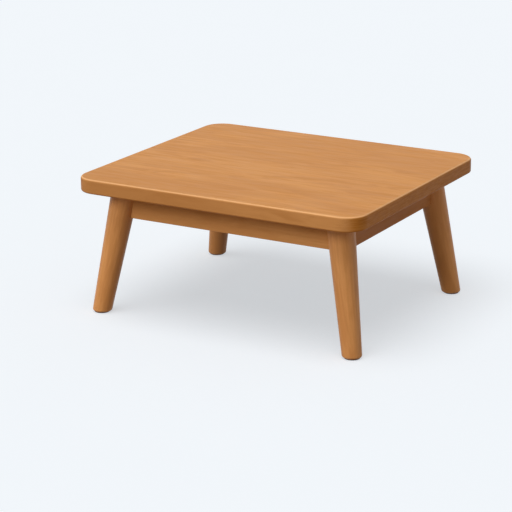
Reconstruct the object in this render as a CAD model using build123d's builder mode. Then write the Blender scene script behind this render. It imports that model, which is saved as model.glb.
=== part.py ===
from build123d import *
from math import cos, radians, sin, tan
import os

# Kotatsu: a low table with a lift-off board, splayed legs and an electric heater under the board.
# Lengths are in millimetres and angles in degrees. The origin is on the floor below the middle of
# the table, +X runs along its length, the front is at -Y and +Z points up.

# ---------------------------------------------------------------- table as a whole
table_length = 800.0
table_depth = 700.0
table_height = 365.0
joint_clearance = 0.1  # between wooden parts that slot into each other
hole_clearance = 0.1  # radial, between a fastener and the hole it goes into

# ---------------------------------------------------------------- board and its anti-slip pads
board_thickness = 38.0
board_corner_radius = 56.0
board_upper_round = 6.0
board_lower_round = 5.0
pad_diameter = 16.0
pad_thickness = 3.0
pad_proud = 1.0  # how far a pad stands out of the leg, which is the gap under the board
pad_inset = 14.0  # from the leg's axis towards the table's corner, along X and Y

# ---------------------------------------------------------------- aprons
apron_height = 74.0
apron_thickness = 20.0
apron_edge_round = 2.0
front_apron_setback = 88.0  # outer face of the front and back aprons, from the board's edge
side_apron_setback = 74.0  # outer face of the left and right aprons, from the board's end

# ---------------------------------------------------------------- legs and glides
leg_head_diameter = 70.0  # across the leg, square to its axis, level with the aprons' top
leg_foot_diameter = 49.0  # the same at the floor
leg_foot_round = 5.0
splay_angle_x = 9.7  # lean of the leg's axis outwards along X
splay_angle_y = 7.0  # lean outwards along Y
leg_inset_x = 14.0  # axis behind the side apron's outer face, at half the apron's height
leg_inset_y = 8.0  # axis behind the front apron's outer face, at the same height
apron_seat = 9.0  # how deep an apron's end sits in the leg, at the apron's lower edge
bolt_land = 1.5  # least wood between an apron's end and the leg's bolt hole
glide_thickness = 2.5
glide_inset = 5.0  # the glide is this much smaller than the foot all round
glide_round = 0.6
glide_pin_diameter = 5.0
glide_pin_length = 12.0

# ---------------------------------------------------------------- corner brackets and bolts
bracket_sheet = 2.5
bracket_margin = 12.0  # apron left above and below the bracket
bracket_bend_radius = 2.5  # of the bends' centre line
bracket_flange = 36.0  # along the apron, from the web to the lip
bracket_reach = 32.0  # from the aprons' inner corner to the web
kerf_depth = 6.0
bolt_diameter = 8.0
bolt_length = 70.0
bolt_tail = 6.0  # stands out beyond the nut
bolt_point_length = 5.6
bolt_point_angle = 25.0  # between the point's side and the bolt's axis
washer_diameter = 24.0
washer_thickness = 1.6
nut_width = 13.0  # across flats
nut_height = 6.5

# ---------------------------------------------------------------- wood screws
screw_diameter = 4.0
screw_length = 16.0
screw_head_diameter = 8.0
screw_head_height = 2.6
screw_head_angle = 20.0  # between a head's side and the screw's axis
screw_pitch = 26.0  # between the two screws in a flange

# ---------------------------------------------------------------- lattice that holds the heater
rail_width = 45.0
rail_height = 24.0
dowel_diameter = 8.0
dowel_length = 30.0
dowel_pitch = 24.0
dowel_depth_in_apron = 12.0

# ---------------------------------------------------------------- heater case
heater_size = 290.0  # square, over the case's walls
heater_gap = 4.0  # between the case and the rails
heater_drop = 5.0  # the case's top below the aprons' top
case_depth = 56.0
case_sheet = 1.0
case_corner_radius = 18.0
case_top_round = 4.0
case_flange = 16.0  # width of the rim that is turned inwards round the case's mouth
louvre_count = 9
louvre_pitch = 13.0
louvre_width = 4.0
louvre_height = 18.0
louvre_lift = 17.0  # middle of the louvres above the case's mouth
vent_count = 6
vent_pitch = 12.0
vent_width = 4.0
vent_length = 46.0
vent_margin = 50.0  # middle of each group of top vents from the case's wall

# ---------------------------------------------------------------- heater mounting
lug_sheet = 2.0
lug_width = 24.0
lug_drop = 22.0  # leg that is welded to the case
lug_reach = 20.0  # leg under the rail, from the case's wall
lug_margin = 45.0  # from the case's corner to each lug's middle
lug_bend_radius = 2.0  # of the bend's centre line

# ---------------------------------------------------------------- reflector
reflector_sheet = 0.8
reflector_margin = 19.0  # from the case's wall to the dish at its lip
reflector_flare = 18.0  # how far the lip is wider than the flat crown, on each side
reflector_depth = 28.0
reflector_crown_radius = 22.0
reflector_mouth_radius = 26.0
reflector_lip_gap = 2.0  # between the lip's edge and the case's wall
fan_opening = 104.0
fan_collar_depth = 10.0

# ---------------------------------------------------------------- quartz tubes and their holders
tube_diameter = 12.0
tube_wall = 1.2
tube_margin = 32.0  # each tube's axis from the crown's edge
tube_drop = 14.0  # tube's axis below the underside of the crown
tube_socket = 12.0  # how deep a tube sits in its holder
coil_diameter = 6.5  # over the turns of the wire inside a tube
coil_margin = 6.0  # tube end left empty of coil
holder_margin = 15.0  # each holder's middle from the crown's edge
holder_length = 16.0
holder_wall = 4.0  # ceramic round the tube
holder_fit = 0.15  # radial, tube in holder
small_screw_diameter = 3.0
small_screw_head_diameter = 5.6
small_screw_head_height = 2.0
holder_screw_length = 6.0

# ---------------------------------------------------------------- fan
bridge_sheet = 1.6
bridge_width = 28.0
bridge_overlap = 13.0  # of the bridge on the crown, at each end
motor_diameter = 52.0
motor_height = 20.0
motor_round = 3.0
motor_ear_span = 66.0  # between the motor's two screws
motor_ear_width = 12.0
motor_ear_sheet = 2.0
boss_diameter = 12.0  # motor's bearing boss, which stands in the bridge
shaft_diameter = 4.0
shaft_running_fit = 0.05  # radial
shaft_depth_in_motor = 12.0
fan_tip_gap = 4.0  # radial, between the blades and the collar
fan_top_gap = 3.0  # between the hub and the bridge
hub_diameter = 28.0
hub_height = 15.0
hub_round = 3.0
hub_fit = 0.02
blade_count = 7
blade_thickness = 1.6
blade_root_chord = 19.0
blade_tip_chord = 33.0
blade_root_angle = 44.0  # between the blade's chord and the level, at the hub
blade_tip_angle = 24.0  # the same at the tip

# ---------------------------------------------------------------- wire guard
guard_frame_width = 15.0  # of the flange under the case's rim
guard_frame_sheet = 1.5
guard_frame_inset = 2.0  # of the flange's edge from the case's wall
guard_depth = 15.0  # how far the skirt reaches below the case
guard_lip = 5.0  # width of the lip that is turned inwards at the skirt's lower edge
guard_corner_radius = 9.0  # of the skirt, outside
guard_lip_radius = 4.5  # at the corners of the lip's opening
guard_wire_diameter = 2.5
guard_wire_pitch = 14.0
guard_wire_gap = 0.1  # between a wire's end and the skirt
guard_cross_count = 3
guard_cross_pitch = 70.0
guard_screw_margin = 55.0  # from the case's corner to each screw, along Y
guard_screw_length = 7.0

# ---------------------------------------------------------------- electrical parts
thermostat_diameter = 18.0
thermostat_height = 6.0
thermostat_cap_diameter = 12.0
thermostat_cap_height = 3.0
thermostat_x = 22.0
fuse_length = 30.0
fuse_width = 9.0
fuse_round = 3.0
fuse_x = 0.0
terminal_length = 44.0
terminal_width = 20.0
terminal_height = 9.0
terminal_rib = 4.0  # height of the ribs between the poles
terminal_rib_width = 2.0
terminal_poles = 3
terminal_x = -45.0
parts_margin = 24.0  # thermostat, fuse and terminal block from the crown's edge, along Y

# ---------------------------------------------------------------- leads between the electrical parts
lead_diameter = 1.6
lead_bend = 5.0
lead_lift = 4.5  # of the connections above the crown
lead_rise = 9.0  # of the leads' highest runs above the crown
link_rise = 4.4  # of the lead that links the tubes' left ends
lead_run = 8.0  # straight stretch at a connection
lead_inset = 2.5  # a tube's lead from the outer end of its holder
lead_fit = 0.2  # radial, lead in the crown's hole
motor_lead_lift = 12.0  # above the bridge

# ---------------------------------------------------------------- cord inlet
inlet_margin = 45.0  # from the case's left wall to the inlet's middle
inlet_lift = 18.0  # its middle above the case's mouth
inlet_width = 36.0
inlet_height = 18.0
inlet_wall = 3.0
inlet_depth = 19.0  # behind the case's wall
inlet_proud = 1.0
inlet_floor = 3.0
inlet_flange = 3.0  # how far the flange is wider than the body, each way
inlet_flange_sheet = 2.0
inlet_fit = 0.1
pin_diameter = 4.0
pin_length = 14.0  # from behind the housing's floor to the pin's tip
pin_round = 1.0
pin_pitch = 9.0

# ---------------------------------------------------------------- places that follow from the sizes
frame_top = table_height - board_thickness - pad_proud
apron_bottom = frame_top - apron_height
apron_middle = frame_top - apron_height / 2
outer_x = table_length / 2 - side_apron_setback
outer_y = table_depth / 2 - front_apron_setback
inner_x = outer_x - apron_thickness
inner_y = outer_y - apron_thickness

slope_x = tan(radians(splay_angle_x))
slope_y = tan(radians(splay_angle_y))


def leg_axis(height):
    """X and Y of the leg's axis at a height above the floor, as positive distances."""
    below_middle = apron_middle - height
    axis_x = outer_x - leg_inset_x + slope_x * below_middle
    axis_y = outer_y - leg_inset_y + slope_y * below_middle
    return axis_x, axis_y


def leg_radius(height):
    """Radius of the leg at a height above the floor."""
    share = height / frame_top
    return (leg_foot_diameter + (leg_head_diameter - leg_foot_diameter) * share) / 2


diagonal = cos(radians(45))
bolt_line_land = (bolt_diameter / 2 + hole_clearance + bolt_land) / diagonal
low_axis_x, low_axis_y = leg_axis(apron_bottom)
low_radius = leg_radius(apron_bottom)
front_apron_end = min(low_axis_x - low_radius + apron_seat, inner_x - bolt_line_land)
side_apron_end = min(low_axis_y - low_radius + apron_seat, inner_y - bolt_line_land)

bracket_bottom = apron_bottom + bracket_margin
bracket_height = apron_height - 2 * bracket_margin
web_run = bracket_reach / diagonal
web_start = web_run - bracket_sheet / 2  # from the aprons' corner to the web's bend, along an apron
lip_place = web_start + bracket_flange
kerf_width = bracket_sheet / 2 + bracket_bend_radius + 2 * joint_clearance
kerf_place = lip_place + bracket_sheet / 2 + joint_clearance - kerf_width / 2

opening_half = heater_size / 2 + heater_gap
rail_centre = opening_half + rail_width / 2
rail_bottom = frame_top - rail_height
rail_middle = frame_top - rail_height / 2

case_half = heater_size / 2
case_top = frame_top - heater_drop
case_bottom = case_top - case_depth
flange_inner = heater_size - 2 * case_flange
vent_distance = case_half - vent_margin
lug_spread = case_half - lug_margin
mouth_half = case_half - reflector_margin
crown_half = mouth_half - reflector_flare
reflector_bottom = case_bottom + case_sheet
crown_top = reflector_bottom + reflector_depth
crown_under = crown_top - reflector_sheet
parts_offset = crown_half - parts_margin
tube_offset = crown_half - tube_margin
tube_height = crown_under - tube_drop
holder_spread = crown_half - holder_margin
tube_half = holder_spread - holder_length / 2 + tube_socket
bridge_top = crown_top + bridge_sheet
bridge_half = fan_opening / 2 + bridge_overlap
bridge_screw_x = bridge_half - bridge_overlap / 2
hub_top = crown_top - fan_top_gap
hub_bottom = hub_top - hub_height
blade_middle = hub_top - hub_height / 2
fan_radius = fan_opening / 2 - fan_tip_gap
guard_frame_top = case_bottom
guard_frame_bottom = guard_frame_top - guard_frame_sheet
guard_half = case_half - guard_frame_inset
guard_skirt_half = guard_half - guard_frame_width + guard_frame_sheet
guard_lip_top = guard_frame_top - guard_depth + guard_frame_sheet
guard_wire_height = guard_lip_top + guard_wire_diameter / 2
guard_wire_half = guard_skirt_half - guard_frame_sheet - guard_wire_gap
guard_wire_count = 2 * int((guard_skirt_half - guard_lip - guard_wire_diameter) / guard_wire_pitch) + 1
guard_screw_place = case_half - case_flange / 2
guard_screw_spread = case_half - guard_screw_margin
inlet_x = inlet_margin - case_half
inlet_middle = case_bottom + inlet_lift
inlet_back = case_half - case_sheet - inlet_depth

corners = {
    "front_left": (-1, -1),
    "front_right": (1, -1),
    "back_left": (-1, 1),
    "back_right": (1, 1),
}


def keep(part, name):
    """Label a finished piece and write it to its own file."""
    part.label = name
    export_step(part, f"parts/{name}.step")


def upright_plane(x, y, z, outward_x, outward_y):
    """Plane at a point whose normal is level and points outwards."""
    sideways = (-outward_y, outward_x, 0)
    return Plane(origin=(x, y, z), x_dir=sideways, z_dir=(outward_x, outward_y, 0))


def make_fasteners(planes, diameter, length, head_diameter, head_height):
    """Round-headed screws, one per plane: the head stands on the plane, the shank goes below it."""
    with BuildPart() as screws:
        for place in planes:
            with BuildSketch(place):
                Circle(diameter / 2)
            extrude(amount=-length)
            with BuildSketch(place):
                Circle(head_diameter / 2)
            extrude(amount=head_height, taper=screw_head_angle)
    return screws


# ---------------------------------------------------------------- board and pads
def make_tabletop():
    with BuildPart() as board:
        with BuildSketch(Plane.XY.offset(table_height)):
            RectangleRounded(table_length, table_depth, board_corner_radius)
        extrude(amount=-board_thickness)
        fillet(board.edges().group_by(Axis.Z)[-1], board_upper_round)
        fillet(board.edges().group_by(Axis.Z)[0], board_lower_round)
    return board


def pad_place(sx, sy):
    """Middle of a pad, over the solid outer part of the leg's head."""
    axis_x, axis_y = leg_axis(frame_top)
    return sx * (axis_x + pad_inset), sy * (axis_y + pad_inset)


def make_pads():
    with BuildPart() as pads:
        with BuildSketch(Plane.XY.offset(frame_top + pad_proud)):
            with Locations(*[pad_place(sx, sy) for sx, sy in corners.values()]):
                Circle(pad_diameter / 2)
        extrude(amount=-pad_thickness)
    return pads


# ---------------------------------------------------------------- aprons
def make_apron(side_plane, half_length, corner_distance, rail_joints):
    """Apron in a plane whose x runs along it and whose y points out of the table.

    corner_distance is from the apron's middle to the inner corner with its neighbour, and
    rail_joints are the places along it where dowels of the rails go in.
    """
    inner_face = Plane(origin=side_plane.origin, x_dir=side_plane.x_dir, z_dir=side_plane.y_dir)
    kerf_x = corner_distance - kerf_place
    screw_x = corner_distance - web_start - bracket_flange / 2
    screw_rise = bracket_bottom - apron_bottom + bracket_height / 2
    with BuildPart() as apron:
        with BuildSketch(side_plane):
            with Locations((0, apron_thickness / 2)):
                Rectangle(2 * half_length, apron_thickness)
        extrude(amount=apron_height)
        lower_edges = apron.faces().sort_by(Axis.Z)[0].edges().sort_by(SortBy.LENGTH)
        fillet(lower_edges[-2:], apron_edge_round)
        with BuildSketch(side_plane.offset(bracket_bottom - apron_bottom - joint_clearance)):
            with Locations((kerf_x, kerf_depth / 2), (-kerf_x, kerf_depth / 2)):
                Rectangle(kerf_width, kerf_depth)
        extrude(amount=apron_height, mode=Mode.SUBTRACT)
        with BuildSketch(inner_face):
            for x in (-screw_x, screw_x):
                with Locations((x, -screw_rise - screw_pitch / 2), (x, -screw_rise + screw_pitch / 2)):
                    Circle(screw_diameter / 2 + hole_clearance)
        extrude(amount=screw_length - bracket_sheet + hole_clearance, mode=Mode.SUBTRACT)
        if rail_joints:
            with BuildSketch(inner_face):
                with Locations(*[(x, apron_bottom - rail_middle) for x in rail_joints]):
                    Circle(dowel_diameter / 2 + hole_clearance)
            extrude(amount=dowel_depth_in_apron + hole_clearance, mode=Mode.SUBTRACT)
    return apron


# ---------------------------------------------------------------- legs
def make_leg(sx, sy):
    """Tapered round leg that leans outwards, with housings for the two apron ends."""
    foot_x, foot_y = leg_axis(0)
    head_x, head_y = leg_axis(frame_top)
    foot = Vector(sx * foot_x, sy * foot_y, 0)
    axis = Vector(sx * head_x, sy * head_y, frame_top) - foot
    leg_plane = Plane(origin=foot, z_dir=axis)
    overrun = leg_head_diameter / 4
    housing_length = leg_head_diameter
    with BuildPart() as leg:
        with BuildSketch(leg_plane.offset(-overrun)):
            Circle(leg_radius(-overrun))
        with BuildSketch(leg_plane.offset(axis.length + overrun)):
            Circle(leg_radius(frame_top + overrun))
        loft()
        split(bisect_by=Plane.XY.offset(frame_top), keep=Keep.BOTTOM)
        split(bisect_by=Plane.XY.offset(glide_thickness), keep=Keep.TOP)
        fillet(leg.faces().sort_by(Axis.Z)[0].edges(), leg_foot_round)
        # Housings that take the ends of the front or back apron and of the side apron
        with BuildSketch(Plane.XY.offset(apron_bottom - joint_clearance)):
            front_end = front_apron_end + joint_clearance
            with Locations((sx * (front_end - housing_length / 2), sy * (outer_y - apron_thickness / 2))):
                Rectangle(housing_length, apron_thickness + 2 * joint_clearance)
            side_end = side_apron_end + joint_clearance
            with Locations((sx * (outer_x - apron_thickness / 2), sy * (side_end - housing_length / 2))):
                Rectangle(apron_thickness + 2 * joint_clearance, housing_length)
        extrude(amount=apron_height + 2 * joint_clearance, mode=Mode.SUBTRACT)
        # Hole for the hanger bolt
        with BuildSketch(bolt_plane(sx, sy)):
            Circle(bolt_diameter / 2 + hole_clearance)
        extrude(amount=bolt_embedded_end + hole_clearance, mode=Mode.SUBTRACT)
        # Recess for the anti-slip pad and hole for the glide's pin
        with BuildSketch(Plane.XY.offset(frame_top)):
            with Locations(pad_place(sx, sy)):
                Circle(pad_diameter / 2 + joint_clearance)
        extrude(amount=pad_proud - pad_thickness, mode=Mode.SUBTRACT)
        with BuildSketch(Plane.XY.offset(glide_thickness)):
            with Locations(glide_place(sx, sy)):
                Circle(glide_pin_diameter / 2 + hole_clearance)
        extrude(amount=glide_pin_length + hole_clearance, mode=Mode.SUBTRACT)
    return leg


def glide_place(sx, sy):
    """Middle of a leg's foot, where its glide goes."""
    axis_x, axis_y = leg_axis(glide_thickness)
    return sx * axis_x, sy * axis_y


def make_glide(sx, sy):
    """Round nail-on glide: a disc and the pin that holds it in the foot."""
    with BuildPart() as glide:
        with BuildSketch():
            with Locations(glide_place(sx, sy)):
                Circle(leg_radius(0) - glide_inset)
        extrude(amount=glide_thickness)
        fillet(glide.edges().group_by(Axis.Z)[0], glide_round)
        with BuildSketch(Plane.XY.offset(glide_thickness)):
            with Locations(glide_place(sx, sy)):
                Circle(glide_pin_diameter / 2)
        extrude(amount=glide_pin_length)
    return glide


# ---------------------------------------------------------------- corner brackets
def bolt_plane(sx, sy):
    """Plane on the inner face of a bracket's web, with its normal towards the leg."""
    back = (bracket_reach + bracket_sheet / 2) * diagonal
    return upright_plane(sx * (inner_x - back), sy * (inner_y - back), apron_middle, sx, sy)


bolt_inner_end = washer_thickness + nut_height + bolt_tail
bolt_embedded_end = bolt_length - bolt_inner_end


def flange_screw_planes(sx, sy):
    """Planes for a bracket's four screws, on the flanges, with normals away from the aprons."""
    along = web_start + bracket_flange / 2
    face_x = inner_x - bracket_sheet
    face_y = inner_y - bracket_sheet
    planes = []
    for height in (apron_middle - screw_pitch / 2, apron_middle + screw_pitch / 2):
        planes.append(upright_plane(sx * (inner_x - along), sy * face_y, height, 0, -sy))
        planes.append(upright_plane(sx * face_x, sy * (inner_y - along), height, -sx, 0))
    return planes


def make_bracket(sx, sy):
    """Pressed bracket: lip, flange, diagonal web, flange and lip, bent from one strip."""
    face_x = inner_x - bracket_sheet / 2
    face_y = inner_y - bracket_sheet / 2
    lip_x = inner_x + kerf_depth - joint_clearance
    lip_y = inner_y + kerf_depth - joint_clearance
    outline = [
        (inner_x - lip_place, lip_y),
        (inner_x - lip_place, face_y),
        (inner_x - web_start, face_y),
        (face_x, inner_y - web_start),
        (face_x, inner_y - lip_place),
        (lip_x, inner_y - lip_place),
    ]
    with BuildPart() as bracket:
        with BuildSketch(Plane.XY.offset(bracket_bottom)):
            with BuildLine():
                FilletPolyline(*[(sx * x, sy * y) for x, y in outline], radius=bracket_bend_radius)
            trace(line_width=bracket_sheet)
        extrude(amount=bracket_height)
        with BuildSketch(bolt_plane(sx, sy)):
            Circle(bolt_diameter / 2 + hole_clearance)
        extrude(amount=bracket_sheet, both=True, mode=Mode.SUBTRACT)
        for place in flange_screw_planes(sx, sy):
            with BuildSketch(place):
                Circle(screw_diameter / 2 + hole_clearance)
            extrude(amount=-bracket_sheet, mode=Mode.SUBTRACT)
    return bracket


def make_bolts():
    """Hanger bolts, pointed at the end that is screwed into the leg."""
    with BuildPart() as bolts:
        for sx, sy in corners.values():
            place = bolt_plane(sx, sy)
            with BuildSketch(place.offset(-bolt_inner_end)):
                Circle(bolt_diameter / 2)
            extrude(amount=bolt_length - bolt_point_length)
            with BuildSketch(place.offset(bolt_embedded_end - bolt_point_length)):
                Circle(bolt_diameter / 2)
            extrude(amount=bolt_point_length, taper=bolt_point_angle)
    return bolts


def make_washers():
    with BuildPart() as washers:
        for sx, sy in corners.values():
            with BuildSketch(bolt_plane(sx, sy)):
                Circle(washer_diameter / 2)
                Circle(bolt_diameter / 2 + hole_clearance, mode=Mode.SUBTRACT)
            extrude(amount=-washer_thickness)
    return washers


def make_nuts():
    with BuildPart() as nuts:
        for sx, sy in corners.values():
            with BuildSketch(bolt_plane(sx, sy).offset(-washer_thickness)):
                RegularPolygon(nut_width / 2, 6, major_radius=False)
                Circle(bolt_diameter / 2 + hole_clearance / 2, mode=Mode.SUBTRACT)
            extrude(amount=-nut_height)
    return nuts


# ---------------------------------------------------------------- lattice round the heater
rail_dowel_places = [rail_centre - dowel_pitch / 2, rail_centre + dowel_pitch / 2]


def make_rail(side):
    """Long rail from the front apron to the back apron, left or right of the heater."""
    cross_faces = [
        upright_plane(side * opening_half, end * rail_centre, rail_middle, side, 0) for end in (-1, 1)
    ]
    end_faces = [upright_plane(side * rail_centre, end * inner_y, rail_middle, 0, -end) for end in (-1, 1)]
    with BuildPart() as rail:
        with BuildSketch(Plane.XY.offset(rail_bottom)):
            with Locations((side * rail_centre, 0)):
                Rectangle(rail_width, 2 * inner_y)
        extrude(amount=rail_height)
        lower_edges = rail.faces().sort_by(Axis.Z)[0].edges().filter_by(Axis.Y)
        chamfer(lower_edges, apron_edge_round / 2)
        for place in end_faces:
            with BuildSketch(place):
                with GridLocations(dowel_pitch, 1, 2, 1):
                    Circle(dowel_diameter / 2 + hole_clearance)
            extrude(amount=dowel_length - dowel_depth_in_apron + hole_clearance, mode=Mode.SUBTRACT)
        for place in cross_faces:
            with BuildSketch(place):
                with GridLocations(dowel_pitch, 1, 2, 1):
                    Circle(dowel_diameter / 2 + hole_clearance)
            extrude(amount=dowel_length / 2 + hole_clearance, mode=Mode.SUBTRACT)
        with BuildSketch(Plane.XY.offset(rail_bottom)):
            with Locations(*[(x, y) for x, y in lug_screw_places if x * side > 0]):
                Circle(screw_diameter / 2 + hole_clearance)
        extrude(amount=screw_length - lug_sheet + hole_clearance, mode=Mode.SUBTRACT)
    return rail


def make_cross_rail(side):
    """Short rail between the two long ones, in front of or behind the heater."""
    end_faces = [
        upright_plane(end * opening_half, side * rail_centre, rail_middle, -end, 0) for end in (-1, 1)
    ]
    with BuildPart() as rail:
        with BuildSketch(Plane.XY.offset(rail_bottom)):
            with Locations((0, side * rail_centre)):
                Rectangle(2 * opening_half, rail_width)
        extrude(amount=rail_height)
        lower_edges = rail.faces().sort_by(Axis.Z)[0].edges().filter_by(Axis.X)
        chamfer(lower_edges, apron_edge_round / 2)
        for place in end_faces:
            with BuildSketch(place):
                with GridLocations(dowel_pitch, 1, 2, 1):
                    Circle(dowel_diameter / 2 + hole_clearance)
            extrude(amount=dowel_length / 2 + hole_clearance, mode=Mode.SUBTRACT)
    return rail


def make_dowels():
    """Dowels of the long rails' ends and of the cross rails' ends."""
    with BuildPart() as dowels:
        for side in (-1, 1):
            for end in (-1, 1):
                apron_face = upright_plane(side * rail_centre, end * inner_y, rail_middle, 0, -end)
                with BuildSketch(apron_face.offset(-dowel_depth_in_apron)):
                    with GridLocations(dowel_pitch, 1, 2, 1):
                        Circle(dowel_diameter / 2)
                extrude(amount=dowel_length)
                rail_face = upright_plane(side * opening_half, end * rail_centre, rail_middle, side, 0)
                with BuildSketch(rail_face.offset(-dowel_length / 2)):
                    with GridLocations(dowel_pitch, 1, 2, 1):
                        Circle(dowel_diameter / 2)
                extrude(amount=dowel_length)
    return dowels


# ---------------------------------------------------------------- heater case and its mounting
lug_screw_x = case_half + (heater_gap + lug_reach) / 2
lug_screw_places = [(side * lug_screw_x, end * lug_spread) for side in (-1, 1) for end in (-1, 1)]
louvre_middle = case_bottom + louvre_lift
guard_screw_places = [(sx * guard_screw_place, sy * guard_screw_spread) for sx, sy in corners.values()]


def square_ring(outer_size, outer_radius, inner_size, inner_radius):
    """Square ring with rounded corners, drawn in the sketch that is open."""
    RectangleRounded(outer_size, outer_size, outer_radius)
    RectangleRounded(inner_size, inner_size, inner_radius, mode=Mode.SUBTRACT)


def make_case():
    """Tray of sheet steel, open downwards, with louvres, vents and a rim turned inwards."""
    flange_radius = max(case_corner_radius - case_flange, case_sheet)
    with BuildPart() as case:
        with BuildSketch(Plane.XY.offset(case_top)):
            RectangleRounded(heater_size, heater_size, case_corner_radius)
        extrude(amount=-case_depth)
        fillet(case.edges().group_by(Axis.Z)[-1], case_top_round)
        offset(amount=-case_sheet, openings=case.faces().sort_by(Axis.Z)[0])
        with BuildSketch(Plane.XY.offset(case_bottom)):
            square_ring(heater_size, case_corner_radius, flange_inner, flange_radius)
        extrude(amount=case_sheet)
        for wall in (Plane.XZ.offset(-case_half), Plane.YZ.offset(-case_half)):
            with BuildSketch(wall):
                with Locations((0, louvre_middle)):
                    with GridLocations(louvre_pitch, 1, louvre_count, 1):
                        SlotOverall(louvre_height, louvre_width, rotation=90)
            extrude(amount=heater_size, mode=Mode.SUBTRACT)
        with BuildSketch(Plane.XY.offset(case_top)):
            with Locations((-vent_distance, 0), (vent_distance, 0)):
                with GridLocations(1, vent_pitch, 1, vent_count):
                    SlotOverall(vent_length, vent_width)
        extrude(amount=-2 * case_sheet, mode=Mode.SUBTRACT)
        with BuildSketch(Plane.XY.offset(case_bottom)):
            with Locations(*guard_screw_places):
                Circle(small_screw_diameter / 2 + hole_clearance)
        extrude(amount=case_sheet, mode=Mode.SUBTRACT)
        with BuildSketch(Plane.XZ.offset(-case_half)):
            with Locations((inlet_x, inlet_middle)):
                Rectangle(inlet_width + 2 * inlet_fit, inlet_height + 2 * inlet_fit)
        extrude(amount=2 * case_sheet, mode=Mode.SUBTRACT)
    return case


def make_lugs():
    """Angle lugs welded to the case's side walls, screwed up into the rails."""
    mid = lug_sheet / 2
    with BuildPart() as lugs:
        for side in (-1, 1):
            for end in (-1, 1):
                outline = [
                    (side * (case_half + mid), rail_bottom - lug_drop),
                    (side * (case_half + mid), rail_bottom - mid),
                    (side * (case_half + heater_gap + lug_reach), rail_bottom - mid),
                ]
                with BuildSketch(Plane.XZ.offset(-end * lug_spread - lug_width / 2)):
                    with BuildLine():
                        FilletPolyline(*outline, radius=lug_bend_radius)
                    trace(line_width=lug_sheet)
                extrude(amount=lug_width)
        with BuildSketch(Plane.XY.offset(rail_bottom)):
            with Locations(*lug_screw_places):
                Circle(screw_diameter / 2 + hole_clearance)
        extrude(amount=-lug_sheet, mode=Mode.SUBTRACT)
    return lugs


# ---------------------------------------------------------------- reflector
def make_reflector():
    """Dished sheet, open downwards, with a lip on the case's rim and a collar round the fan."""
    lip_size = heater_size - 2 * (case_sheet + reflector_lip_gap)
    lip_radius = case_corner_radius - case_sheet - reflector_lip_gap
    mouth_radius = reflector_mouth_radius
    mouth_inner = 2 * (mouth_half - reflector_sheet)
    with BuildPart() as reflector:
        with BuildSketch(Plane.XY.offset(reflector_bottom)):
            RectangleRounded(2 * mouth_half, 2 * mouth_half, mouth_radius)
        with BuildSketch(Plane.XY.offset(crown_top)):
            RectangleRounded(2 * crown_half, 2 * crown_half, reflector_crown_radius)
        loft()
        offset(amount=-reflector_sheet, openings=reflector.faces().sort_by(Axis.Z)[0])
        with BuildSketch(Plane.XY.offset(reflector_bottom)):
            square_ring(lip_size, lip_radius, mouth_inner, mouth_radius - reflector_sheet)
        extrude(amount=reflector_sheet)
        with BuildSketch(Plane.XY.offset(crown_top)):
            Circle(fan_opening / 2 + reflector_sheet)
        extrude(amount=-fan_collar_depth)
        with BuildSketch(Plane.XY.offset(crown_top)):
            Circle(fan_opening / 2)
        extrude(amount=-fan_collar_depth, mode=Mode.SUBTRACT)
        with BuildSketch(Plane.XY.offset(reflector_bottom)):
            with Locations(*guard_screw_places):
                Circle(small_screw_diameter / 2 + hole_clearance)
        extrude(amount=reflector_sheet, mode=Mode.SUBTRACT)
        with BuildSketch(Plane.XY.offset(crown_top)):
            with Locations(*holder_places):
                Circle(small_screw_diameter / 2 + hole_clearance)
            with Locations((-bridge_screw_x, 0), (bridge_screw_x, 0)):
                Circle(small_screw_diameter / 2 + hole_clearance)
            with Locations(*tube_lead_places):
                Circle(lead_diameter / 2 + lead_fit)
        extrude(amount=-reflector_sheet, mode=Mode.SUBTRACT)
    return reflector


# ---------------------------------------------------------------- quartz tubes
tube_lead_x = holder_spread + holder_length / 2 - lead_inset
holder_places = [(sx * holder_spread, sy * tube_offset) for sx, sy in corners.values()]
tube_lead_places = [(sx * tube_lead_x, sy * tube_offset) for sx, sy in corners.values()]


def make_tube(side):
    """Quartz tube of the element in front of or behind the fan."""
    with BuildPart() as tube:
        with BuildSketch(Plane(origin=(-tube_half, side * tube_offset, tube_height), z_dir=(1, 0, 0))):
            Circle(tube_diameter / 2)
            Circle(tube_diameter / 2 - tube_wall, mode=Mode.SUBTRACT)
        extrude(amount=2 * tube_half)
    return tube


def make_coil(side):
    """Outer shape of the wound heating wire inside a tube, with its straight ends."""
    end_radius = tube_diameter / 2 - tube_wall
    with BuildPart() as coil:
        with BuildSketch(Plane(origin=(0, side * tube_offset, tube_height), z_dir=(1, 0, 0))):
            Circle(coil_diameter / 2)
        extrude(amount=tube_half - coil_margin, both=True)
        # Discs that centre the coil in the tube's ends
        for end in (-1, 1):
            plane = Plane(origin=(end * tube_half, side * tube_offset, tube_height), z_dir=(-end, 0, 0))
            with BuildSketch(plane):
                Circle(end_radius)
            extrude(amount=coil_margin)
    return coil


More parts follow.
